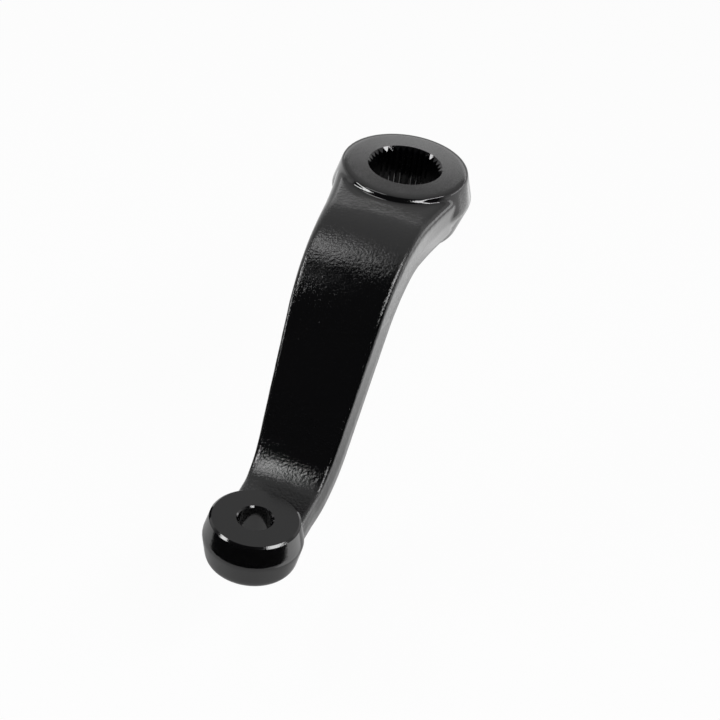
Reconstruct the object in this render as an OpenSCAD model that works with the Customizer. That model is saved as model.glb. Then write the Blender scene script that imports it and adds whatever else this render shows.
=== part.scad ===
// Drop pitman arm: one forging with a splined hub, a dropped tapering arm and a tapered stud eye.
// Lengths in millimetres. The origin is the middle of the splined bore, +Z runs along the sector
// shaft towards the steering box, and +X runs towards the eye.

/* [Arm] */
// Distance between the hub axis and the eye axis
arm_length = 158.8; // [140:0.1:200]
// Drop from the hub's upper face to the eye's upper face
face_drop = 75.4; // [62:0.1:100]
// Slope of the straight stretch below the horizontal
arm_slope = 57.5; // [48:0.5:62]
// Bend radius next to the hub, on the parting line
hub_bend_r = 43; // [34:0.5:52]
// Bend radius next to the eye, on the parting line
eye_bend_r = 31; // [20:0.5:36]
// Level stretch from the lower bend to the eye axis
eye_level_l = 30.4; // [26:0.1:36]
// Width over the parting line at the hub
arm_w_hub = 48.4; // [44:0.1:54]
// Distance from the hub axis at which the arm starts to taper
taper_start = 8; // [0:1:40]
// Width over the parting line at the eye
arm_w_eye = 31.4; // [26:0.1:36]
// Thickness at the hub
arm_t_hub = 21.5; // [16:0.1:23]
// Thickness at the eye
arm_t_eye = 14.6; // [11:0.1:17]
// Draft of the arm's walls on either side of the parting line
draft = 4; // [1:0.5:7]
// Radius along the arm's edges next to the hub
edge_r_hub = 4.5; // [2:0.1:7]
// Radius along the arm's edges from the straight stretch on
edge_r_eye = 2; // [1:0.1:4]

/* [Hub] */
// Height of the hub between its machined faces
hub_h = 28; // [26:0.5:36]
// Diameter of the upper face, against the steering box
hub_face_d = 53.6; // [50:0.1:58]
// Diameter at the parting line
hub_waist_d = 60; // [56:0.1:64]
// Depth of the parting line below the upper face
hub_waist_z = 12.2; // [9:0.1:14]
// Diameter of the lower face, under the shaft nut, with its edge still sharp
hub_foot_d = 49.5; // [48:0.1:56]
// Height of the upper face above the arm
hub_step = 2.2; // [1.5:0.1:4]
// Distance from the hub axis over which the arm narrows from the hub's width to its own
hub_flare_l = 50; // [30:1:70]
// Length of the cove between the arm and the hub's wall
hub_cove_l = 8; // [3:0.1:10]
// Height of that cove on the wall
hub_cove_h = 0.7; // [0.3:0.1:1.2]
// Radius on the edge of the upper face
hub_edge_r = 1; // [0.4:0.1:1.4]
// Radius on the edge of the lower face
hub_foot_r = 4.5; // [1:0.1:5]

/* [Spline] */
// Diameter over the groove roots at the upper face
spline_d = 31.75; // [28:0.05:33]
// Number of grooves
spline_count = 36; // [24:1:48]
// Depth of each groove
groove_depth = 1.4; // [0.6:0.05:1.6]
// Share of the pitch that is left as a flat on each tooth
tooth_flat = 0.12; // [0.08:0.01:0.4]
// Loss of diameter for each millimetre of length
spline_taper = 0.0625; // [0.01:0.0025:0.08]
// Width of the chamfer beyond the groove roots at either mouth
mouth_chamfer = 0.1; // [0.1:0.1:1.5]

/* [Eye] */
// Height of the eye between its faces
eye_h = 21; // [18:0.5:26]
// Diameter of the upper face, with its edge still sharp
eye_face_d = 35.6; // [32:0.1:42]
// Diameter at the parting line
eye_waist_d = 40; // [37:0.1:46]
// Depth of the parting line below the upper face
eye_waist_z = 9; // [7:0.5:11]
// Diameter of the lower face, with its edge still sharp
eye_foot_d = 35.2; // [30:0.1:38]
// Height of the upper face above the arm
eye_step = 7.5; // [3:0.1:9]
// Radius of the fillets in plan that run from the arm into the eye
eye_fillet_r = 12; // [6:1:24]
// Length of the cove between the arm and the eye's wall, and its height on the wall
eye_cove_l = 3; // [2:0.1:6]
// Radius on the edge of the upper face
eye_edge_r = 1.2; // [0.4:0.1:2]
// Radius on the edge of the lower face
eye_foot_r = 4.5; // [1:0.1:5]
// Stock on the eye's underside that the spot face takes off, and the spot face's margin around the eye
seat_stock = 0.3; // [0.2:0.1:1]
seat_margin = 2; // [1:0.5:6]

/* [Stud hole] */
// Diameter of the tapered hole at the upper face
stud_d = 13.7; // [12:0.05:16]
// Gain of diameter for each millimetre of depth
stud_taper = 0.125; // [0.05:0.005:0.15]
// Width of the chamfer at either mouth
stud_chamfer = 0.6; // [0.2:0.1:1.2]

/* [Hidden] */

// Fineness of round faces, of the arm's bends and straight, of fillets in plan and of small corners
round_fn = 96;
bend_steps = 14;
slope_steps = 3;
fillet_steps = 7;
edge_steps = 4;
cove_steps = 5;
cove_turns = 20;
// How deep fillets and coves are sunk into what they join, and how far cutters overrun
sink = 0.5;
overrun = 1;
// Share of the eye's radius at which the arm's end lies inside it
end_share = 0.2;
// Share of the hub's radius at which the arm's rounded end has its centre, the steps of that end, and
// how far the arm's full width stays inside the hub's parting line
nose_share = 0.4;
nose_steps = 4;
hub_inset = 1;
// Radius along the parting line of the hub and the eye
waist_r = 2;
// Depth at which a cove starts below the arm's upper side, half the angle that it covers, and the
// share of that angle over which it fades out
cove_dip = 0.2;
cove_span = 46;
cove_fade = 0.6;

// Levels of the machined faces, of the arm and of the parting lines at either end
hub_top = hub_h / 2;
hub_bottom = -hub_h / 2;
arm_top_hub = hub_top - hub_step;
hub_line_z = arm_top_hub - arm_t_hub / 2;
eye_top = hub_top - face_drop;
eye_bottom = eye_top - eye_h;
arm_top_eye = eye_top - eye_step;
eye_line_z = arm_top_eye - arm_t_eye / 2;
hub_waist = hub_waist_d / 2;
eye_waist = eye_waist_d / 2;

// Run of the parting line: level, bend, straight slope, bend, level
line_drop = hub_line_z - eye_line_z;
slope_l = (line_drop - (hub_bend_r + eye_bend_r) * (1 - cos(arm_slope))) / sin(arm_slope);
line_run = (hub_bend_r + eye_bend_r) * sin(arm_slope) + slope_l * cos(arm_slope);
hub_bend_l = hub_bend_r * arm_slope * PI / 180;
eye_bend_l = eye_bend_r * arm_slope * PI / 180;
bend_start = arm_length - eye_level_l - line_run;
slope_start = bend_start + hub_bend_l;
slope_end = slope_start + slope_l;
level_start = slope_end + eye_bend_l;
line_length = level_start + eye_level_l;
slope_start_x = bend_start + hub_bend_r * sin(arm_slope);
slope_start_z = hub_line_z - hub_bend_r * (1 - cos(arm_slope));
level_start_x = arm_length - eye_level_l;

// Share of a stretch that arc length s has covered, and a value that eases from a to b over one
function share(s, from, to) = min(1, max(0, (s - from) / (to - from)));
function eased(s, from, to, a, b) = let (u = share(s, from, to)) a + (b - a) * u * u * (3 - 2 * u);
function half_width(s) = (arm_w_hub + (arm_w_eye - arm_w_hub) * share(s, taper_start, level_start)) / 2;
function half_thickness(s) = eased(s, slope_end, line_length - eye_waist, arm_t_hub, arm_t_eye) / 2;
function edge_radius(s) = eased(s, bend_start, slope_start, edge_r_hub, edge_r_eye);

// Angle and point of the parting line at arc length s
function line_angle(s) =
    s < bend_start ? 0 :
    s < slope_start ? (s - bend_start) / hub_bend_l * arm_slope :
    s < slope_end ? arm_slope :
    s < level_start ? (level_start - s) / eye_bend_l * arm_slope : 0;
function line_point(s) =
    let (a = line_angle(s), d = s - slope_start)
    s < bend_start ? [s, hub_line_z] :
    s < slope_start ? [bend_start + hub_bend_r * sin(a), hub_line_z - hub_bend_r * (1 - cos(a))] :
    s < slope_end ? [slope_start_x + d * cos(arm_slope), slope_start_z - d * sin(arm_slope)] :
    s < level_start ? [level_start_x - eye_bend_r * sin(a), eye_line_z + eye_bend_r * (1 - cos(a))] :
    [level_start_x + s - level_start, eye_line_z];

// Fillet of radius f in plan between a round boss of radius r and an arm of half width w:
// distance from the boss's axis to the fillet's centre, and to where the fillet meets the boss
function fillet_centre(r, w, f) = sqrt(pow(r - sink + f, 2) - pow(w + f, 2));
function fillet_end(r, w, f) = fillet_centre(r, w, f) * (r - sink) / (r - sink + f);
// Extra half width that the fillet gives at distance x from the boss's axis
function flare(x, r, w, f) =
    let (c = fillet_centre(r, w, f), d = c - max(x, fillet_end(r, w, f)))
    x >= c ? 0 : f - sqrt(f * f - d * d);

hub_w = half_width(0);
eye_w = half_width(line_length);
nose_x = hub_waist * nose_share;
eye_fillet_x = fillet_centre(eye_waist, eye_w, eye_fillet_r);
eye_fillet_end = fillet_end(eye_waist, eye_w, eye_fillet_r);

// Half width at arc length s with the flare at the hub, and with the rounded end inside the hub and
// the fillet at the eye as well
function flared_width(s) =
    half_width(s) + max(0, hub_waist - hub_inset - hub_w) * pow(1 - share(s, 0, hub_flare_l), 2);
function filleted_width(s) =
    s < nose_x ? sqrt(pow(flared_width(nose_x), 2) - pow(nose_x - s, 2)) :
    flared_width(s) + flare(line_length - s, eye_waist, eye_w, eye_fillet_r);

// Arc lengths of the arm's sections
function steps(from, to, count) = [for (i = [0:count - 1]) from + (to - from) * i / count];
stations = concat(
    steps(0, nose_x, nose_steps),
    steps(nose_x, bend_start, fillet_steps),
    steps(bend_start, slope_start, bend_steps),
    steps(slope_start, slope_end, slope_steps),
    steps(slope_end, level_start, bend_steps),
    [level_start],
    steps(line_length - eye_fillet_x, line_length - eye_fillet_end, fillet_steps),
    [line_length - eye_fillet_end, line_length - eye_waist * end_share]
);

// Forged section: half width w on the parting line, half thickness t, drafted walls, edge radius r
function edge_arc(w, t, r) =
    let (y = w - (r + (t - r) * sin(draft)) / cos(draft), a = (90 - draft) / edge_steps)
    [for (i = [0:edge_steps]) [y + r * cos(draft + i * a), t - r + r * sin(draft + i * a)]];
function reversed(points) = [for (i = [len(points) - 1:-1:0]) points[i]];
function section(w, t, r) =
    let (arc = edge_arc(w, t, r), back = reversed(arc))
    concat(
        [[w, 0]], arc,
        [for (p = back) [-p[0], p[1]]], [[-w, 0]],
        [for (p = arc) [-p[0], -p[1]]],
        [for (p = back) [p[0], -p[1]]]
    );

// Section at arc length s, placed square to the parting line
function placed_section(s) =
    let (a = line_angle(s), c = line_point(s))
    [for (p = section(filleted_width(s), half_thickness(s), edge_radius(s)))
        [c[0] + p[1] * sin(a), p[0], c[1] + p[1] * cos(a)]];

// Outline with rounded corners, from points given as [x, y, radius]
function corner_arc(a, p, b, r) =
    let (
        u = (a - p) / norm(a - p),
        v = (b - p) / norm(b - p),
        half = acos(u * v) / 2,
        centre = p + (u + v) / norm(u + v) * r / sin(half),
        from = p + u * r / tan(half) - centre,
        to = p + v * r / tan(half) - centre,
        start = atan2(from[1], from[0]),
        turn = atan2(from[0] * to[1] - from[1] * to[0], from * to)
    )
    [for (i = [0:edge_steps]) let (t = start + turn * i / edge_steps) centre + r * [cos(t), sin(t)]];
function place(p) = [p[0], p[1]];
function rounded(points) =
    let (n = len(points))
    [for (i = [0:n - 1])
        let (a = points[(i + n - 1) % n], p = points[i], b = points[(i + 1) % n])
        each p[2] == 0 ? [place(p)] : corner_arc(place(a), place(p), place(b), p[2])];

// Solid skinned over a list of rings with the same number of points
module skin(rings) {
    count = len(rings[0]);
    last = len(rings) - 1;
    points = [for (ring = rings) each ring];
    walls = [
        for (i = [0:last - 1], j = [0:count - 1])
            let (k = (j + 1) % count, a = i * count, b = a + count)
            each [[a + j, b + j, b + k], [a + j, b + k, a + k]]
    ];
    ends = [
        [for (j = [0:count - 1]) j],
        [for (j = [count - 1:-1:0]) last * count + j]
    ];
    polyhedron(points = points, faces = concat(walls, ends));
}

// Round end of the forging: faces of diameter top_d and foot_d with rounded edges, and a waist
module round_end(top, bottom, top_d, top_r, waist_d, waist_z, foot_d, foot_r) {
    rotate_extrude($fn = round_fn)
        polygon(rounded([
            [0, bottom, 0],
            [foot_d / 2, bottom, foot_r],
            [waist_d / 2, top - waist_z, waist_r],
            [top_d / 2, top, top_r],
            [0, top, 0]
        ]));
}

// Cove in the corner between a round end's drafted wall and the arm's upper side, which lies step
// below the round end's upper face: length l along the arm, rise up the wall, fading to both sides
module cove(face_z, face_d, waist_d, waist_z, step, l, rise) {
    lean = (waist_d - face_d) / 2 / waist_z;
    arm_z = face_z - step;
    function wall_r(z) = face_d / 2 + (face_z - z) * lean;
    function fade(a) = min(1, (1 - abs(a) / cove_span) / cove_fade);
    function profile(k) = concat(
        [[wall_r(arm_z) - 2 * sink, arm_z - sink], [wall_r(arm_z) + l * k, arm_z - sink]],
        [for (i = [0:cove_steps])
            let (u = i / cove_steps, z = arm_z - cove_dip + (rise * k + cove_dip) * u * u)
            [wall_r(z) + l * k - (l * k + sink) * u, z]],
        [[wall_r(arm_z + rise * k) - 2 * sink, arm_z + rise * k]]
    );
    skin([
        for (i = [0:cove_turns])
            let (a = cove_span * (1 - 2 * i / cove_turns))
            [for (p = profile(fade(a))) [p[0] * cos(a), p[0] * sin(a), p[1]]]
    ]);
}

module hub_blank() {
    round_end(hub_top, hub_bottom, hub_face_d, hub_edge_r, hub_waist_d, hub_waist_z, hub_foot_d, hub_foot_r);
    cove(hub_top, hub_face_d, hub_waist_d, hub_waist_z, hub_step, hub_cove_l, hub_cove_h);
}

module eye_blank() {
    translate([arm_length, 0, 0]) {
        round_end(eye_top, eye_bottom - seat_stock, eye_face_d, eye_edge_r, eye_waist_d, eye_waist_z, eye_foot_d, eye_foot_r);
        mirror([1, 0, 0])
            cove(eye_top, eye_face_d, eye_waist_d, eye_waist_z, eye_step, eye_cove_l, eye_cove_l);
    }
}

module arm() {
    skin([for (s = stations) placed_section(s)]);
}

// Tapered serrated bore, wide at the upper face, with a chamfer at either mouth
module spline_bore() {
    pitch = 360 / spline_count;
    top_r = spline_d / 2 + overrun * spline_taper / 2;
    bottom_r = spline_d / 2 - (hub_h + overrun) * spline_taper / 2;
    tip_share = 1 - groove_depth / (spline_d / 2);
    half_flat = pitch * tooth_flat / 2;
    translate([0, 0, hub_bottom - overrun])
        linear_extrude(height = hub_h + 2 * overrun, scale = top_r / bottom_r)
            polygon([
                for (i = [0:spline_count - 1], p = [[-half_flat, tip_share], [half_flat, tip_share], [pitch / 2, 1]])
                    let (a = i * pitch + p[0])
                    bottom_r * p[1] * [cos(a), sin(a)]
            ]);
    mouth(spline_d / 2 + mouth_chamfer, hub_top, 1);
    mouth(spline_d / 2 - hub_h * spline_taper / 2 + mouth_chamfer, hub_bottom, -1);
}

// Chamfer of 45 degrees: a cone that is r wide on the face at level z and opens along side
module mouth(r, z, side) {
    depth = groove_depth + 2 * mouth_chamfer + overrun;
    translate([0, 0, z])
        scale([1, 1, side])
            translate([0, 0, -depth])
                cylinder(h = depth + overrun, r1 = r - depth, r2 = r + overrun, $fn = round_fn);
}

// Tapered hole for the ball stud, wide at the lower face
module stud_hole() {
    top_r = stud_d / 2;
    bottom_r = top_r + eye_h * stud_taper / 2;
    lean = stud_taper / 2;
    translate([arm_length, 0, eye_bottom - overrun])
        cylinder(
            h = eye_h + 2 * overrun,
            r1 = bottom_r + overrun * lean,
            r2 = top_r - overrun * lean,
            $fn = round_fn
        );
    translate([arm_length, 0, 0]) {
        mouth(top_r + stud_chamfer, eye_top, 1);
        mouth(bottom_r + stud_chamfer, eye_bottom, -1);
    }
}

// Spot face on the underside, which makes the eye's lower face and trims the arm around it
module stud_seat() {
    translate([arm_length, 0, eye_bottom - arm_t_eye])
        cylinder(h = arm_t_eye, r = eye_waist + seat_margin, $fn = round_fn);
}

module pitman_arm() {
    color("#1c1c1e")
        difference() {
            union() {
                hub_blank();
                arm();
                eye_blank();
            }
            spline_bore();
            stud_seat();
            stud_hole();
        }
}

pitman_arm();
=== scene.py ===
"""Painted drop pitman arm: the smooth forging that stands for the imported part, and a plain studio."""

import math

import bmesh
import bpy
import numpy as np
from bpy.props import FloatProperty, FloatVectorProperty, IntProperty, PointerProperty
from mathutils import Matrix, Vector


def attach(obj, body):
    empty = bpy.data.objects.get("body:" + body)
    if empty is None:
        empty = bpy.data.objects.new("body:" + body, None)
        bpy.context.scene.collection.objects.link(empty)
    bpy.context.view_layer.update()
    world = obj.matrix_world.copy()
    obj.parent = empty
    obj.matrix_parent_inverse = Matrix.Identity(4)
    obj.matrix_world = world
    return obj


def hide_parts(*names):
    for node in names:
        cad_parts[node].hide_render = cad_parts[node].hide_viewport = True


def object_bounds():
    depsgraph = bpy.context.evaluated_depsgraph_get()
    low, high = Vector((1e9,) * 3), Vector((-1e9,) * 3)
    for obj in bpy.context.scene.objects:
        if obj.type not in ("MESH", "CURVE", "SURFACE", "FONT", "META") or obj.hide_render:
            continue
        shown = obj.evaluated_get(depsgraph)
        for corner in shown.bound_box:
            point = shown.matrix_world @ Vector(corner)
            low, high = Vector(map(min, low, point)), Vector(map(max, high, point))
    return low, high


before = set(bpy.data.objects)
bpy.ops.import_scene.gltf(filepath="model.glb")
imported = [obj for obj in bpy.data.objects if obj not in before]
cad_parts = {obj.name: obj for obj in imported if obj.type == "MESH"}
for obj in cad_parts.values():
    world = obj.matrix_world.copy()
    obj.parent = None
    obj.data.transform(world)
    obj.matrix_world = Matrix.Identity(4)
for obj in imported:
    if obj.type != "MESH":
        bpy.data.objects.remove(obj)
cad_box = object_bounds()

bl_info = {
    "name": "Drop pitman arm",
    "version": (1, 0, 0),
    "blender": (4, 5, 0),
    "location": "View3D > Sidebar > Pitman arm",
    "description": "Builds a forged, black painted pitman arm and a plain studio around it",
    "category": "Object",
}

MM = 0.001
NODE = "pitman_arm"
BODY = "root"


def length(name, description, millimetres):
    """A length property, given in millimetres."""
    return FloatProperty(
        name=name, description=description, default=millimetres * MM, unit="LENGTH", precision=5
    )


def angle(name, description, degrees):
    """An angle property, given in degrees."""
    radians = math.radians(degrees)
    return FloatProperty(name=name, description=description, default=radians, subtype="ANGLE")


def number(name, description, value):
    """A plain number."""
    return FloatProperty(name=name, description=description, default=value, precision=4)


def colour(name, description, value):
    """A linear colour."""
    return FloatVectorProperty(
        name=name, description=description, default=value, subtype="COLOR", size=3, min=0, max=1
    )


def position(name, description, value):
    """A point, given in metres."""
    return FloatVectorProperty(name=name, description=description, default=value, subtype="TRANSLATION")


class PitmanArmSizes(bpy.types.PropertyGroup):
    """Sizes of the arm between the hub and the eye"""

    centres: length("Centre distance", "From the hub axis to the eye axis", 158.8)
    drop: length("Drop", "From the hub's upper face to the eye's upper face", 75.4)
    slope: angle("Slope", "Fall of the straight stretch", 57.5)
    hub_bend: length("Hub bend", "Bend radius next to the hub, on the parting line", 43)
    eye_bend: length("Eye bend", "Bend radius next to the eye, on the parting line", 31)
    eye_level: length("Eye level", "Level stretch up to the eye axis", 30.4)
    width_hub: length("Width at hub", "Width over the parting line at the hub", 48.4)
    width_eye: length("Width at eye", "Width over the parting line at the eye", 31.4)
    taper_start: length("Taper start", "Distance from the hub axis at which the taper starts", 8)
    thick_hub: length("Thickness", "Thickness from the hub to the end of the slope", 21.5)
    thick_eye: length("Thickness at eye", "Thickness at the eye", 14.6)
    draft: angle("Draft", "Draft of the walls on either side of the parting line", 4)
    edge_hub: length("Edge at hub", "Radius along the edges next to the hub", 4.5)
    edge_eye: length("Edge", "Radius along the edges from the slope on", 2)
    crown: length("Crown", "Rise of the forged faces between their edges", 0.5)


class PitmanHubSizes(bpy.types.PropertyGroup):
    """Sizes of the splined hub"""

    height: length("Height", "Between the machined faces", 28)
    face: length("Face diameter", "Diameter of the upper face", 53.6)
    waist: length("Waist diameter", "Diameter at the parting line", 60)
    waist_depth: length("Waist depth", "Parting line below the upper face", 12.2)
    foot: length("Foot diameter", "Diameter of the lower face with a sharp edge", 49.5)
    step: length("Step", "Upper face above the arm", 2.2)
    flare: length("Flare", "Distance from the axis over which the arm narrows from the hub's width", 50)
    cove: length("Cove", "Length of the cove between the arm and the face", 3)
    cove_rise: length("Cove rise", "Height of the cove at the bevel", 0.05)
    bevel: length("Bevel", "Width of the bevel between the cove and the face", 0.9)
    face_edge: length("Face edge", "Radius on the edge of the upper face", 1)
    foot_edge: length("Foot edge", "Radius on the edge of the lower face", 4.5)
    spline: length("Spline diameter", "Diameter over the groove roots at the upper face", 31.75)
    teeth: IntProperty(name="Teeth", description="Number of grooves in the bore", default=36, min=12)
    groove: length("Groove depth", "Depth of each groove", 1.4)
    taper: number("Spline taper", "Loss of diameter for each unit of length", 0.0625)
    mouth: length("Mouth chamfer", "Chamfer beyond the groove roots", 0.1)


class PitmanEyeSizes(bpy.types.PropertyGroup):
    """Sizes of the eye for the ball stud"""

    height: length("Height", "Between the faces", 21)
    face: length("Face diameter", "Diameter of the upper face", 35.6)
    waist: length("Waist diameter", "Diameter at the parting line", 40)
    waist_depth: length("Waist depth", "Parting line below the upper face", 9)
    foot: length("Foot diameter", "Diameter of the lower face with a sharp edge", 35.2)
    step: length("Step", "Upper face above the arm", 7.5)
    fillet: length("Fillet", "Radius in plan from the arm into the eye", 12)
    cove: length("Cove", "Length of the cove between the arm and the wall", 3)
    cove_rise: length("Cove rise", "Height of the cove on the wall", 3)
    face_bevel: length("Face bevel", "Width of the bevel turned on the edge of the upper face", 0.75)
    face_fall: angle("Bevel fall", "Fall of that bevel", 38.5)
    foot_edge: length("Foot edge", "Radius on the edge of the lower face", 4.5)
    seat_stock: length("Seat stock", "Stock that the spot face takes off the underside", 0.3)
    seat_margin: length("Seat margin", "Margin of that spot face around the eye", 2)
    hole: length("Stud hole", "Diameter of the hole at the upper face", 13.7)
    taper: number("Stud taper", "Gain of diameter for each unit of depth", 0.125)
    chamfer: length("Hole chamfer", "Width of the chamfer at either mouth", 0.6)


class PitmanPaint(bpy.types.PropertyGroup):
    """Look of the black paint over the forged skin"""

    black: colour("Black", "Colour of the paint", (0.0016, 0.0016, 0.0019))
    roughness: number("Roughness", "Gloss of the paint", 0.08)
    ior: number("IOR", "Index of refraction of the paint", 1.6)
    grain: length("Grain size", "Size of the forging grain under the paint", 1.1)
    grain_depth: length("Grain depth", "Depth of the forging grain", 0.17)
    peel: length("Peel size", "Size of the paint's orange peel", 0.5)
    peel_depth: length("Peel depth", "Depth of the orange peel", 0.012)


class PitmanMesh(bpy.types.PropertyGroup):
    """Fineness of the forging's mesh"""

    voxel: length("Voxel", "Grid on which the forging's solids are fused", 0.65)
    smoothing: IntProperty(
        name="Smoothing", description="Passes that round the fused skin", default=8, min=0
    )


class PitmanStudio(bpy.types.PropertyGroup):
    """Camera, lights and floor"""

    camera_at: position("Camera", "Place of the camera", (0.79037, 0.18707, 0.48493))
    camera_aim: position("Aim", "Point at the middle of the picture", (0.07829, 0.01213, -0.03361))
    camera_roll: angle("Roll", "Turn of the camera about its own axis", 8.418)
    lens: number("Lens", "Focal length in millimetres", 110.55)
    floor_gap: length("Floor gap", "Height at which the held arm hangs over the floor", 45)
    floor_colour: colour("Floor", "Colour of the floor", (0.7, 0.7, 0.7))
    screen_colour: colour("Screen", "Colour of the dark screen", (0.03, 0.03, 0.03))
    ambient: number("Ambient", "Strength of the surrounding light", 0.25)


# Middle of the arm, around which the studio stands
MIDDLE = Vector((0.08, 0.0, -0.03))
# Lower bend, which has a small light of its own
LOW_END = Vector((0.118, 0.0, -0.055))
# Point straight above the light that lies on the floor
OVER_FLOOR = Vector((-0.06, 0.25, 0.174))
# Softboxes: azimuth and elevation in degrees, distance, width and height in metres and power in watts,
# and for some the point that they face and the spread of their light in degrees
SOFTBOXES = {
    "left_softbox": (-68, 42.5, 0.9, (0.5, 0.13), 2.5),
    "right_softbox": (70, 50, 0.9, (0.95, 0.13), 4.5),
    "top_softbox": (-96, 69, 0.9, (0.17, 0.3), 0.66),
    "low_left_softbox": (-70, 3, 0.9, (0.45, 0.2), 2.6),
    "back_softbox": (-173, 27.3, 0.7, (0.7, 0.06), 0.17),
    "right_back_softbox": (128, 6, 0.9, (0.6, 0.2), 0.6),
    "floor_softbox": (0, -90, 0.3, (0.5, 0.35), 0.45, OVER_FLOOR),
    "low_end_softbox": (-57, 67, 0.2, (0.06, 0.05), 0.0018, LOW_END, 22),
}
WHITE = (1.0, 1.0, 1.0, 1.0)
# Where the surroundings turn from dark to white along X, their level by height, and their darkest level
BEHIND_FROM, BEHIND_TO = 0.2, -0.15
BACK_LEVELS = ((0.0, 0.75), (0.46, 0.75), (0.52, 0.46), (0.6, 0.5), (0.97, 0.5), (1.0, 0.3))
DARK_LEVEL = 0.03
# Half the floor's side; the distances from the arm over which the floor, in the gloss, goes from a
# painted shade to white, and how much shorter they count along the arm; and how white the camera sees it
FLOOR_HALF = 6.0
PAINTED_SHADE_SPAN = (0.07, 0.2)
PAINTED_SHADE_LONG = 0.55
FLOOR_WHITE = 0.95
# Dark screen in front of the arm: its radius, height and steps, and the directions that it covers
SCREEN_RADIUS, SCREEN_HEIGHT, SCREEN_STEPS = 0.2, 0.12, 40
SCREEN_FROM, SCREEN_TO = math.radians(-115), math.radians(75)
# Width of the camera's sensor in millimetres
SENSOR = 36.0
# Slow waves in the forged skin: how many to a metre, how deep, the range that counts in them, and the
# share of the paint's roughness at either end of it
WAVES, WAVE_DEPTH = 90.0, 0.25 * MM
WAVE_LOW, WAVE_HIGH = 0.3, 0.7
ROUGH_LOW, ROUGH_HIGH = 0.85, 1.2
# Fineness of the meshes that are fused
ROUND_STEPS = 160
RING_STEP = 1.0 * MM
CORNER_STEPS = 8
FACE_STEPS = 16
COVE_TURNS = 48
COVE_STEPS = 10
# How deep fillets and bevels are sunk into what they join, and how far cutters overrun
SINK = 0.5 * MM
OVERRUN = 1.0 * MM
# Radius along the parting line of the hub and the eye
WAIST_EDGE = 2.0 * MM
# Share of the eye's radius at which the arm's end lies inside it, share of the hub's radius at which the
# arm's rounded end has its centre, and how far the arm's full width stays inside the hub
END_SHARE = 0.2
NOSE_SHARE = 0.4
HUB_INSET = 1.0 * MM
# Half the angle that a cove covers, how far it reaches into the wall and under the arm's upper side, and
# how deep it starts below that side
COVE_SPAN = math.radians(46)
COVE_BACK, COVE_UNDER, COVE_DIP = 2.0 * MM, 1.0 * MM, 0.125 * MM
# Shares of that angle over which the cove and the hub's bevel fade out, and that bevel's slope
COVE_FADE, BEVEL_FADE, BEVEL_SLOPE = 0.6, 0.3, 1.48
# Reach of the tool for the eye's bevel, in widths of the bevel
BEVEL_REACH = 2.0
# Stock above the eye's upper face, and the depth of what flat tools take off
STOCK, FACING_DEPTH = 1.5 * MM, 3.0 * MM
# Width of a tooth's tip as a share of the pitch
TOOTH_FLAT = 0.12
# Angle from which an edge is shaded sharp
SHARP_ANGLE = math.radians(32)
# How smooth the skin is on the hub's and the eye's walls, where 1 is machined, the distance from the
# hub's axis at which it is as rough as the arm, and how near a face counts as on it
HUB_SMOOTH, EYE_SMOOTH = 0.9, 0.9
HUB_FADE = 55.0 * MM
NEAR = 0.35 * MM


def share(s, start, end):
    """Share of a stretch that s has covered."""
    return min(1.0, max(0.0, (s - start) / (end - start)))


def eased(s, start, end, a, b):
    """Value that eases from a to b over a stretch."""
    u = share(s, start, end)
    return a + (b - a) * u * u * (3 - 2 * u)


class Layout:
    """Levels, and the run of the parting line: level, bend, straight slope, bend, level."""

    def __init__(self, arm, hub, eye):
        self.arm, self.hub, self.eye = arm, hub, eye
        self.hub_top = hub.height / 2
        self.hub_line = self.hub_top - hub.step - arm.thick_hub / 2
        self.eye_top = self.hub_top - arm.drop
        self.eye_low = self.eye_top - eye.height
        self.eye_line = self.eye_top - eye.step - arm.thick_eye / 2
        bends = arm.hub_bend + arm.eye_bend
        fall = self.hub_line - self.eye_line
        slope_l = (fall - bends * (1 - math.cos(arm.slope))) / math.sin(arm.slope)
        run = bends * math.sin(arm.slope) + slope_l * math.cos(arm.slope)
        self.level_x = arm.centres - arm.eye_level
        self.bend_start = self.level_x - run
        self.slope_start = self.bend_start + arm.hub_bend * arm.slope
        self.slope_end = self.slope_start + slope_l
        self.level_start = self.slope_end + arm.eye_bend * arm.slope
        self.end = self.level_start + arm.eye_level

    def angle(self, s):
        """Fall of the parting line at arc length s."""
        arm = self.arm
        if s < self.slope_start:
            return max(0.0, s - self.bend_start) / arm.hub_bend
        if s < self.slope_end:
            return arm.slope
        return max(0.0, self.level_start - s) / arm.eye_bend

    def point(self, s):
        """Point of the parting line at arc length s, in the plane of symmetry."""
        arm, a = self.arm, self.angle(s)
        if s < self.bend_start:
            return s, self.hub_line
        if s < self.slope_end:
            x = self.bend_start + arm.hub_bend * math.sin(a)
            z = self.hub_line - arm.hub_bend * (1 - math.cos(a))
            d = max(0.0, s - self.slope_start)
            return x + d * math.cos(a), z - d * math.sin(a)
        if s < self.level_start:
            x = self.level_x - arm.eye_bend * math.sin(a)
            return x, self.eye_line + arm.eye_bend * (1 - math.cos(a))
        return self.level_x + s - self.level_start, self.eye_line

    def half_width(self, s):
        """Half width on the parting line, flared into the hub and filleted at the eye."""
        arm, hub, eye = self.arm, self.hub, self.eye
        nose = hub.waist / 2 * NOSE_SHARE
        if s < nose:
            return math.sqrt(self.half_width(nose) ** 2 - (nose - s) ** 2)
        taper = share(s, arm.taper_start, self.level_start)
        w = (arm.width_hub + (arm.width_eye - arm.width_hub) * taper) / 2
        room = max(0.0, hub.waist / 2 - HUB_INSET - arm.width_hub / 2)
        w += room * (1 - share(s, 0.0, hub.flare)) ** 2
        return w + flare(self.end - s, eye.waist / 2, arm.width_eye / 2, eye.fillet)

    def half_thickness(self, s):
        """Half thickness, thinning over the lower bend."""
        arm, end = self.arm, self.end - self.eye.waist / 2
        return eased(s, self.slope_end, end, arm.thick_hub, arm.thick_eye) / 2

    def edge(self, s):
        """Radius along the edges."""
        return eased(s, self.bend_start, self.slope_start, self.arm.edge_hub, self.arm.edge_eye)


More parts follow.
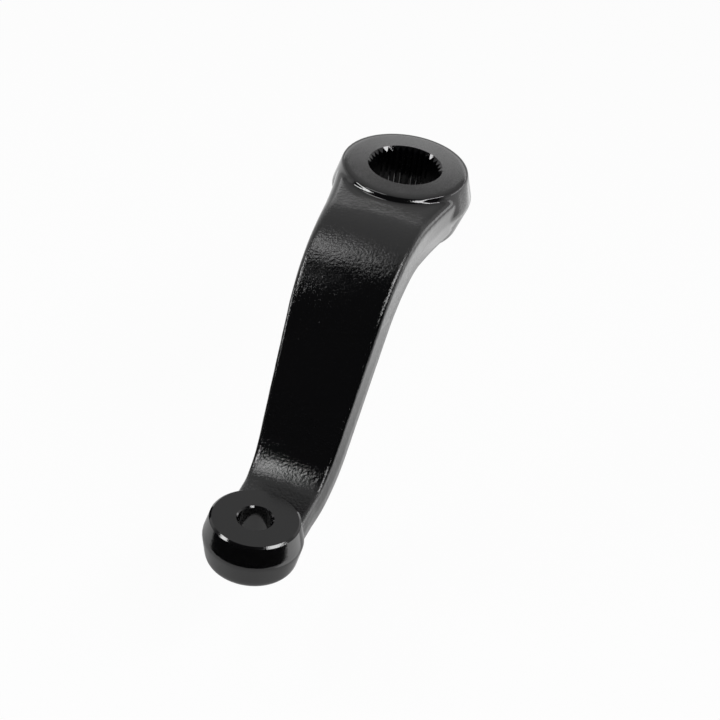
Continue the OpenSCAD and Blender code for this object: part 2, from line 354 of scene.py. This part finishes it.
def flare(x, r, w, f):
    """Extra half width, x before the axis, of a fillet f between an end of radius r and half width w."""
    centre = math.sqrt((r - SINK + f) ** 2 - (w + f) ** 2)
    d = centre - max(x, centre * (r - SINK) / (r - SINK + f))
    return f - math.sqrt(f * f - d * d) if d > 0 else 0.0


def arm_section(w, t, r, draft, crown):
    """Crowned section with drafted walls: half width w, half thickness t and edge radius r."""
    low = t - crown
    y = w - (r + (low - r) * math.sin(draft)) / math.cos(draft)
    turns = [draft + (math.pi / 2 - draft) * i / CORNER_STEPS for i in range(CORNER_STEPS + 1)]
    arc = [(y + r * math.cos(a), low - r + r * math.sin(a)) for a in turns]
    across = [y * (1 - 2 * i / FACE_STEPS) for i in range(1, FACE_STEPS)]
    face = [(p, t - crown * (p / y) ** 2) for p in across]
    top = [(w, 0.0)] + arc + face + [(-p, q) for p, q in reversed(arc)]
    return top + [(-p, -q) for p, q in top]


def arm_rings(lay):
    """Sections of the arm, each square to the parting line."""
    end = lay.end - lay.eye.waist / 2 * END_SHARE
    count = int(end / RING_STEP) + 1
    rings = []
    for i in range(count + 1):
        s = end * i / count
        a, (x, z) = lay.angle(s), lay.point(s)
        sizes = lay.half_width(s), lay.half_thickness(s), lay.edge(s)
        section = arm_section(*sizes, lay.arm.draft, lay.arm.crown)
        rings.append([(x + q * math.sin(a), p, z + q * math.cos(a)) for p, q in section])
    return rings


def rounded(points):
    """Outline through points given as (x, y, radius), with their corners rounded."""
    out = []
    for i, (x, y, r) in enumerate(points):
        p = Vector((x, y))
        if r == 0:
            out.append((x, y))
            continue
        u = (Vector(points[i - 1][:2]) - p).normalized()
        v = (Vector(points[(i + 1) % len(points)][:2]) - p).normalized()
        half = u.angle(v) / 2
        centre = p + (u + v).normalized() * (r / math.sin(half))
        first = p + u * (r / math.tan(half)) - centre
        last = p + v * (r / math.tan(half)) - centre
        start = math.atan2(first.y, first.x)
        turn = math.atan2(first.cross(last), first.dot(last))
        for k in range(CORNER_STEPS + 1):
            a = start + turn * k / CORNER_STEPS
            out.append((centre.x + r * math.cos(a), centre.y + r * math.sin(a)))
    return out


def wall_lean(sizes):
    """Lean of a round end's wall between its upper face and its waist."""
    return (sizes.waist - sizes.face) / 2 / sizes.waist_depth


def end_outline(top, sizes, edge, stock=0.0, foot_stock=0.0):
    """Half outline of a round end, from its lower to its upper face, with stock left on either face."""
    low = top - sizes.height - foot_stock
    return rounded(
        [
            (0.0, low, 0),
            (sizes.foot / 2, low, sizes.foot_edge),
            (sizes.waist / 2, top - sizes.waist_depth, WAIST_EDGE),
            (sizes.face / 2 - stock * wall_lean(sizes), top + stock, edge),
            (0.0, top + stock, 0),
        ]
    )


def cove_rings(top, sizes, rise, bevel, side):
    """Cove and bevel between a round end's wall and the arm's upper side, fading to both sides."""
    lean, level = wall_lean(sizes), top - sizes.step
    wall, under = sizes.face / 2 + sizes.step * lean, level - COVE_UNDER
    rings = []
    for i in range(COVE_TURNS + 1):
        a = COVE_SPAN * (1 - 2 * i / COVE_TURNS)
        left = 1 - abs(a) / COVE_SPAN
        k, b = eased(left, 0.0, COVE_FADE, 0.0, 1.0), eased(left, 0.0, BEVEL_FADE, 0.0, bevel)
        profile = [(wall - COVE_BACK, under), (wall + b + sizes.cove * k, under)]
        for j in range(COVE_STEPS + 1):
            u = j / COVE_STEPS
            z = level - COVE_DIP + (rise * k + COVE_DIP) * u * u
            profile.append((sizes.face / 2 + (top - z) * lean + b + sizes.cove * k * (1 - u), z))
        r, z = profile[-1]
        peak = z + (b + SINK) * BEVEL_SLOPE
        profile += [(r - b - SINK, peak), (wall - COVE_BACK, peak)]
        rings.append([(side * r * math.cos(a), r * math.sin(a), z) for r, z in profile])
    return rings if side > 0 else rings[::-1]


def new_object(name, bm):
    """Object that holds a finished bmesh, with its faces turned outwards."""
    bmesh.ops.recalc_face_normals(bm, faces=bm.faces)
    mesh = bpy.data.meshes.new(name)
    bm.to_mesh(mesh)
    bm.free()
    obj = bpy.data.objects.new(name, mesh)
    bpy.context.collection.objects.link(obj)
    return obj


def add_rings(bm, rings, shift=0.0):
    """Closed skin over rings with the same number of points, moved along X."""
    verts = [[bm.verts.new((x + shift, y, z)) for x, y, z in ring] for ring in rings]
    for a, b in zip(verts, verts[1:]):
        for j in range(len(a)):
            k = (j + 1) % len(a)
            bm.faces.new((a[j], b[j], b[k], a[k]))
    bm.faces.new(verts[0])
    bm.faces.new(verts[-1][::-1])


def round_turns():
    """Angles of the steps around a round form."""
    return [2 * math.pi * i / ROUND_STEPS for i in range(ROUND_STEPS)]


def add_turned(bm, outline, x):
    """Solid turned about a vertical axis at x from an outline that starts and ends on the axis."""
    low = bm.verts.new((x, 0, outline[0][1]))
    high = bm.verts.new((x, 0, outline[-1][1]))
    rings = []
    for r, z in outline[1:-1]:
        places = [(x + r * math.cos(a), r * math.sin(a), z) for a in round_turns()]
        rings.append([bm.verts.new(place) for place in places])
    for i in range(ROUND_STEPS):
        k = (i + 1) % ROUND_STEPS
        bm.faces.new((low, rings[0][k], rings[0][i]))
        bm.faces.new((high, rings[-1][i], rings[-1][k]))
        for a, b in zip(rings, rings[1:]):
            bm.faces.new((a[i], a[k], b[k], b[i]))


def add_hoop(bm, outline, x):
    """Ring turned about a vertical axis at x from a closed outline that is clear of the axis."""
    rings = []
    for a in round_turns():
        places = [(x + r * math.cos(a), r * math.sin(a), z) for r, z in outline]
        rings.append([bm.verts.new(place) for place in places])
    for a, b in zip(rings, rings[1:] + rings[:1]):
        for j in range(len(outline)):
            k = (j + 1) % len(outline)
            bm.faces.new((a[j], b[j], b[k], a[k]))


def applied(obj, kind, **settings):
    """Adds a modifier to an object and applies it."""
    mod = obj.modifiers.new(kind.title(), kind)
    for key, value in settings.items():
        setattr(mod, key, value)
    graph = bpy.context.evaluated_depsgraph_get()
    mesh = bpy.data.meshes.new_from_object(obj.evaluated_get(graph))
    if not mesh.polygons:
        raise RuntimeError(f"{kind} left no faces on {obj.name}")
    obj.modifiers.clear()
    old, obj.data = obj.data, mesh
    bpy.data.meshes.remove(old)


def cut(obj, tool):
    """Cuts a tool out of an object, deletes the tool and stops if the skin is no longer closed."""
    applied(obj, "BOOLEAN", operation="DIFFERENCE", solver="EXACT", object=tool)
    bpy.data.objects.remove(tool)
    edges = np.empty(len(obj.data.loops), dtype=np.int32)
    obj.data.loops.foreach_get("edge_index", edges)
    if np.any(np.bincount(edges, minlength=len(obj.data.edges)) != 2):
        raise RuntimeError(f"{obj.name} is not closed after a cut")


def bore_radius(hub, z):
    """Radius of the tapered bore over the groove roots at level z."""
    return hub.spline / 2 - (hub.height / 2 - z) * hub.taper / 2


def spline_tool(lay):
    """Tapered, serrated bore, wide at the upper face."""
    hub = lay.hub
    pitch = 2 * math.pi / hub.teeth
    flat = pitch * TOOTH_FLAT / 2
    tip = 1 - hub.groove / (hub.spline / 2)
    star = []
    for i in range(hub.teeth):
        for turn, radius in ((-flat, tip), (flat, tip), (pitch / 2, 1.0)):
            a = i * pitch + turn
            star.append((radius * math.cos(a), radius * math.sin(a)))
    rings = []
    for z in (-hub.height / 2 - OVERRUN, hub.height / 2 + OVERRUN):
        r = bore_radius(hub, z)
        rings.append([(r * x, r * y, z) for x, y in star])
    bm = bmesh.new()
    add_rings(bm, rings)
    return new_object("spline_tool", bm)


def turned_tool(x, outline):
    """Round tool turned about a vertical axis at x."""
    bm = bmesh.new()
    add_turned(bm, outline, x)
    return new_object("turned_tool", bm)


def mouth_tool(lay, side):
    """Chamfer of 45 degrees at the bore's upper or lower mouth, opening along side."""
    hub, face = lay.hub, side * lay.hub_top
    depth = hub.groove + 2 * hub.mouth
    r = bore_radius(hub, face) + hub.mouth
    low, high = face - side * depth, face + side * OVERRUN
    outline = [(0.0, low), (r - depth, low), (r + OVERRUN, high), (0.0, high)]
    return turned_tool(0.0, outline if side > 0 else outline[::-1])


def flat_tool(lay, r, low, high):
    """Flat tool on the eye's axis, between two levels."""
    return turned_tool(lay.arm.centres, [(0.0, low), (r, low), (r, high), (0.0, high)])


def facing_tool(lay):
    """Flat tool that faces off the stock above the eye's upper face."""
    return flat_tool(lay, lay.eye.waist / 2, lay.eye_top, lay.eye_top + FACING_DEPTH)


def seat_tool(lay):
    """Flat tool that spot-faces the eye's underside and trims the arm around it."""
    r = lay.eye.waist / 2 + lay.eye.seat_margin
    return flat_tool(lay, r, lay.eye_low - FACING_DEPTH, lay.eye_low)


def bevel_tool(lay):
    """Ring that turns the bevel on the edge of the eye's upper face."""
    eye, top, fall = lay.eye, lay.eye_top, math.tan(lay.eye.face_fall)
    r, wide = eye.face / 2 - eye.face_bevel, BEVEL_REACH * eye.face_bevel
    low, high, outer = top - wide * fall, top + OVERRUN * fall, r + wide + OVERRUN
    bm = bmesh.new()
    outline = [(r - OVERRUN, high), (r + wide, low), (outer, low), (outer, high)]
    add_hoop(bm, outline, lay.arm.centres)
    return new_object("bevel_tool", bm)


def stud_tool(lay):
    """Tapered hole for the ball stud, wide at the lower face, with a chamfer at either mouth."""
    eye, low, top = lay.eye, lay.eye_low, lay.eye_top
    lean, c = eye.taper / 2, eye.chamfer
    top_r = eye.hole / 2
    low_r = top_r + eye.height * lean
    low_c, top_c = c / (1 - lean), c / (1 + lean)
    outline = [
        (0.0, low - OVERRUN),
        (low_r + c + OVERRUN, low - OVERRUN),
        (low_r + c - low_c, low + low_c),
        (top_r + c - top_c, top - top_c),
        (top_r + c + OVERRUN, top + OVERRUN),
        (0.0, top + OVERRUN),
    ]
    return turned_tool(lay.arm.centres, outline)


def build_forging(scene):
    """Fuses the arm, the hub, the eye and their coves into one skin and cuts what is machined."""
    arm, hub, eye = scene.pitman_arm, scene.pitman_hub, scene.pitman_eye
    fine = scene.pitman_mesh
    lay = Layout(arm, hub, eye)
    bm = bmesh.new()
    add_rings(bm, arm_rings(lay))
    add_turned(bm, end_outline(lay.hub_top, hub, hub.face_edge), 0.0)
    add_turned(bm, end_outline(lay.eye_top, eye, 0.0, STOCK, eye.seat_stock), arm.centres)
    add_rings(bm, cove_rings(lay.hub_top, hub, hub.cove_rise, hub.bevel, 1))
    add_rings(bm, cove_rings(lay.eye_top, eye, eye.cove_rise, 0.0, -1), arm.centres)
    obj = new_object("forged_arm", bm)
    applied(obj, "REMESH", mode="VOXEL", voxel_size=fine.voxel, adaptivity=0.0)
    applied(obj, "SMOOTH", factor=0.5, iterations=fine.smoothing)

    cut(obj, facing_tool(lay))
    cut(obj, bevel_tool(lay))
    cut(obj, spline_tool(lay))
    cut(obj, mouth_tool(lay, 1))
    cut(obj, mouth_tool(lay, -1))
    cut(obj, seat_tool(lay))
    cut(obj, stud_tool(lay))
    finish_mesh(obj, lay)
    return obj


def finish_mesh(obj, lay):
    """Smooth shading with sharp machined edges, and a value that marks how smooth the skin is."""
    mesh = obj.data
    mesh.shade_smooth()
    mesh.set_sharp_from_angle(angle=SHARP_ANGLE)
    co = np.empty(len(mesh.vertices) * 3)
    mesh.vertices.foreach_get("co", co)
    co = co.reshape(-1, 3)
    r = np.hypot(co[:, 0], co[:, 1])
    smooth = HUB_SMOOTH * np.clip((HUB_FADE - r) / (HUB_FADE - lay.hub.waist / 2), 0.0, 1.0)
    smooth[(r < lay.hub.waist / 2) & (co[:, 2] > lay.hub_top - lay.hub.step + NEAR)] = 1.0
    smooth[r < lay.hub.spline / 2 + lay.hub.mouth] = 1.0
    r = np.hypot(co[:, 0] - lay.arm.centres, co[:, 1])
    smooth[r < lay.eye.waist / 2 + NEAR] = EYE_SMOOTH
    smooth[r < lay.eye.hole / 2 + lay.eye.height * lay.eye.taper / 2] = 1.0
    for level in (lay.hub_top, -lay.hub_top, lay.eye_top, lay.eye_low):
        smooth[np.abs(co[:, 2] - level) < NEAR] = 1.0
    layer = mesh.attributes.new("smooth", "FLOAT", "POINT")
    layer.data.foreach_set("value", smooth)


class Nodes:
    """Small helper that adds linked shader nodes to a tree."""

    def __init__(self, tree):
        self.tree = tree
        tree.nodes.clear()

    def add(self, kind, inputs=None, **settings):
        """A node with its settings, and its inputs set or linked by name or index."""
        node = self.tree.nodes.new(kind)
        for key, value in settings.items():
            setattr(node, key, value)
        for key, value in (inputs or {}).items():
            if isinstance(value, bpy.types.NodeSocket):
                self.tree.links.new(value, node.inputs[key])
            else:
                node.inputs[key].default_value = value
        return node

    def math(self, operation, a, b=0.0):
        """Output of a math node."""
        return self.add("ShaderNodeMath", {0: a, 1: b}, operation=operation).outputs[0]

    def vector(self, operation, a, b=(0.0, 0.0, 0.0)):
        """Outputs of a vector math node."""
        return self.add("ShaderNodeVectorMath", {0: a, 1: b}, operation=operation).outputs

    def noise(self, place, scale, **inputs):
        """Value of a noise texture."""
        inputs = {"Vector": place, "Scale": scale, **inputs}
        return self.add("ShaderNodeTexNoise", inputs).outputs["Fac"]

    def bump(self, **inputs):
        """Normal of a bump node."""
        return self.add("ShaderNodeBump", inputs).outputs[0]

    def ease(self, value, start, end, low=0.0, high=1.0):
        """Value that eases from low to high as the input goes from start to end."""
        inputs = {"Value": value, "From Min": start, "From Max": end, "To Min": low, "To Max": high}
        return self.add("ShaderNodeMapRange", inputs, interpolation_type="SMOOTHSTEP").outputs[0]

    def ramp(self, value, stops):
        """Grey ramp through stops of place and level."""
        node = self.add("ShaderNodeValToRGB", {0: value})
        ramp = node.color_ramp
        ramp.elements[0].position, ramp.elements[-1].position = stops[0][0], stops[-1][0]
        for place, _ in stops[1:-1]:
            ramp.elements.new(place)
        for element, (_, level) in zip(ramp.elements, stops):
            element.color = (level, level, level, 1.0)
        return node.outputs[0]


def paint_material(paint):
    """Gloss black paint over a forged skin: grain, orange peel, and smoother machined faces."""
    material = bpy.data.materials.new("gloss_black_paint")
    material.use_nodes = True
    nodes = Nodes(material.node_tree)
    place = nodes.add("ShaderNodeTexCoord").outputs["Object"]
    smooth = nodes.add("ShaderNodeAttribute", attribute_name="smooth").outputs["Fac"]
    forged = nodes.math("SUBTRACT", 1.0, smooth)
    grain = nodes.noise(place, 1 / paint.grain, Detail=3.0, Roughness=0.6)
    peel = nodes.noise(place, 1 / paint.peel, Detail=1.0)
    waves = nodes.noise(place, WAVES, Detail=1.0)
    low, high = paint.roughness * ROUGH_LOW, paint.roughness * ROUGH_HIGH
    span = {"From Min": WAVE_LOW, "From Max": WAVE_HIGH, "To Min": low, "To Max": high}
    rough = nodes.add("ShaderNodeMapRange", {"Value": waves, **span}).outputs[0]
    skin = nodes.bump(Height=waves, Distance=WAVE_DEPTH, Strength=forged)
    skin = nodes.bump(Height=grain, Distance=paint.grain_depth, Strength=forged, Normal=skin)
    skin = nodes.bump(Height=peel, Distance=paint.peel_depth, Normal=skin)
    look = {"Base Color": (*paint.black, 1.0), "Roughness": rough, "IOR": paint.ior, "Normal": skin}
    shader = nodes.add("ShaderNodeBsdfPrincipled", look)
    nodes.add("ShaderNodeOutputMaterial", {"Surface": shader.outputs[0]})
    return material


class PITMAN_OT_forging(bpy.types.Operator):
    """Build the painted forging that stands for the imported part"""

    bl_idname = "pitman.forging"
    bl_label = "Build the forging"

    def execute(self, context):
        obj = build_forging(context.scene)
        obj.data.materials.append(paint_material(context.scene.pitman_paint))
        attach(obj, BODY)
        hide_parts(NODE)
        return {"FINISHED"}


def build_world(studio):
    """Surroundings that are white to the camera, and in the gloss dark on the camera's side."""
    world = bpy.data.worlds.new("white_studio")
    world.use_nodes = True
    bpy.context.scene.world = world
    nodes = Nodes(world.node_tree)
    path = nodes.add("ShaderNodeLightPath").outputs
    sky = nodes.add("ShaderNodeTexCoord").outputs["Generated"]
    way = nodes.add("ShaderNodeSeparateXYZ", {0: sky}).outputs
    behind = nodes.ease(way["X"], BEHIND_FROM, BEHIND_TO)
    height = nodes.ramp(way["Z"], BACK_LEVELS)
    wall = nodes.math("MAXIMUM", nodes.math("MULTIPLY", behind, height), DARK_LEVEL)
    light, gloss, white = (
        nodes.add("ShaderNodeBackground", {"Color": WHITE, "Strength": level}).outputs[0]
        for level in (studio.ambient, wall, 1.0)
    )
    mix = nodes.add("ShaderNodeMixShader", {0: path["Is Glossy Ray"], 1: light, 2: gloss}).outputs[0]
    seen = nodes.math("MAXIMUM", path["Is Camera Ray"], path["Is Transmission Ray"])
    mix = nodes.add("ShaderNodeMixShader", {0: seen, 1: mix, 2: white}).outputs[0]
    nodes.add("ShaderNodeOutputWorld", {"Surface": mix})


def floor_level(studio):
    """Height of the floor."""
    return cad_box[0][2] - studio.floor_gap


def build_floor(studio):
    """Pale floor that keeps a soft shadow, and in the gloss a painted shade: dark near the arm, white
    away from it.
    """
    bm = bmesh.new()
    bmesh.ops.create_grid(bm, x_segments=1, y_segments=1, size=FLOOR_HALF)
    floor = new_object("floor", bm)
    floor.location.z = floor_level(studio)
    material = bpy.data.materials.new("pale_floor")
    material.use_nodes = True
    nodes = Nodes(material.node_tree)
    path = nodes.add("ShaderNodeLightPath").outputs
    place = nodes.add("ShaderNodeTexCoord").outputs["Object"]
    # Painted shade: in the gloss the floor glows white only away from the arm, and stays darker near it
    # in place of its shadow
    away = nodes.vector("SUBTRACT", place, (MIDDLE.x, MIDDLE.y, 0.0))[0]
    away = nodes.vector("MULTIPLY", away, (PAINTED_SHADE_LONG, 1.0, 0.0))[0]
    away = nodes.vector("LENGTH", away)["Value"]
    gloss = nodes.math("MULTIPLY", path["Is Glossy Ray"], nodes.ease(away, *PAINTED_SHADE_SPAN))
    seen = nodes.math("MAXIMUM", path["Is Camera Ray"], path["Is Transmission Ray"])
    glow = nodes.math("MAXIMUM", gloss, nodes.math("MULTIPLY", seen, FLOOR_WHITE))
    matte = nodes.add("ShaderNodeBsdfDiffuse", {"Color": (*studio.floor_colour, 1.0)}).outputs[0]
    white = nodes.add("ShaderNodeEmission", {"Color": WHITE, "Strength": 1.0}).outputs[0]
    mix = nodes.add("ShaderNodeMixShader", {0: glow, 1: matte, 2: white})
    nodes.add("ShaderNodeOutputMaterial", {"Surface": mix.outputs[0]})
    floor.data.materials.append(material)


def direction(azimuth, elevation):
    """Unit vector at an azimuth from +X towards +Y and an elevation, both in degrees."""
    a, e = math.radians(azimuth), math.radians(elevation)
    return Vector((math.cos(e) * math.cos(a), math.cos(e) * math.sin(a), math.sin(e)))


def build_softbox(name, azimuth, elevation, distance, size, power, aim=MIDDLE, spread=180):
    """Softbox that faces a point of the arm, with its light kept within a spread in degrees."""
    data = bpy.data.lights.new(name, "AREA")
    data.shape = "RECTANGLE"
    data.size, data.size_y = size
    data.energy = power
    data.spread = math.radians(spread)
    lamp = bpy.data.objects.new(name, data)
    bpy.context.collection.objects.link(lamp)
    way = direction(azimuth, elevation)
    lamp.location = aim + way * distance
    lamp.rotation_euler = way.to_track_quat("Z", "Y").to_euler()
    lamp.visible_camera = False


def build_screen(studio):
    """Low curved dark screen in front of the arm, seen only in the paint's gloss."""
    bm = bmesh.new()
    low = floor_level(studio)
    rows = []
    for i in range(SCREEN_STEPS + 1):
        a = SCREEN_FROM + (SCREEN_TO - SCREEN_FROM) * i / SCREEN_STEPS
        x, y = MIDDLE.x + SCREEN_RADIUS * math.cos(a), MIDDLE.y + SCREEN_RADIUS * math.sin(a)
        rows.append((bm.verts.new((x, y, low)), bm.verts.new((x, y, low + SCREEN_HEIGHT))))
    for (a, b), (c, d) in zip(rows, rows[1:]):
        bm.faces.new((a, c, d, b))
    screen = new_object("dark_screen", bm)
    material = bpy.data.materials.new("dark_cloth")
    material.use_nodes = True
    nodes = Nodes(material.node_tree)
    matte = nodes.add("ShaderNodeBsdfDiffuse", {"Color": (*studio.screen_colour, 1.0)}).outputs[0]
    nodes.add("ShaderNodeOutputMaterial", {"Surface": matte})
    screen.data.materials.append(material)
    screen.visible_camera = False
    screen.visible_diffuse = False
    screen.visible_shadow = False
    screen.visible_transmission = False


def build_camera(studio):
    """Camera at the photograph's viewing angle."""
    data = bpy.data.cameras.new("camera")
    data.lens = studio.lens
    data.sensor_width = SENSOR
    camera = bpy.data.objects.new("camera", data)
    bpy.context.collection.objects.link(camera)
    at, aim = Vector(studio.camera_at), Vector(studio.camera_aim)
    turn = (at - aim).to_track_quat("Z", "Y").to_matrix().to_4x4()
    camera.matrix_world = Matrix.Translation(at) @ turn @ Matrix.Rotation(studio.camera_roll, 4, "Z")
    bpy.context.scene.camera = camera


class PITMAN_OT_studio(bpy.types.Operator):
    """Set up the floor, the lights and the camera"""

    bl_idname = "pitman.studio"
    bl_label = "Set up the studio"

    def execute(self, context):
        studio = context.scene.pitman_studio
        context.scene.view_settings.view_transform = "Standard"
        build_world(studio)
        build_floor(studio)
        for name, settings in SOFTBOXES.items():
            build_softbox(name, *settings)
        build_screen(studio)
        build_camera(studio)
        return {"FINISHED"}


class VIEW3D_PT_pitman(bpy.types.Panel):
    """Buttons that build the pitman arm and its studio"""

    bl_label = "Pitman arm"
    bl_space_type = "VIEW_3D"
    bl_region_type = "UI"
    bl_category = "Pitman arm"

    def draw(self, context):
        for operator in OPERATORS:
            self.layout.operator(operator.bl_idname)


GROUPS = {
    "pitman_arm": PitmanArmSizes,
    "pitman_hub": PitmanHubSizes,
    "pitman_eye": PitmanEyeSizes,
    "pitman_mesh": PitmanMesh,
    "pitman_paint": PitmanPaint,
    "pitman_studio": PitmanStudio,
}
OPERATORS = (PITMAN_OT_forging, PITMAN_OT_studio)


def register():
    """Registers the properties, operators and panel."""
    for name, group in GROUPS.items():
        bpy.utils.register_class(group)
        setattr(bpy.types.Scene, name, PointerProperty(type=group))
    for kind in (*OPERATORS, VIEW3D_PT_pitman):
        bpy.utils.register_class(kind)


def unregister():
    """Removes the panel, operators and properties."""
    for kind in (VIEW3D_PT_pitman, *OPERATORS):
        bpy.utils.unregister_class(kind)
    for name, group in GROUPS.items():
        delattr(bpy.types.Scene, name)
        bpy.utils.unregister_class(group)


def main():
    """Builds everything."""
    register()
    bpy.ops.pitman.forging()
    bpy.ops.pitman.studio()


if __name__ == "__main__":
    main()
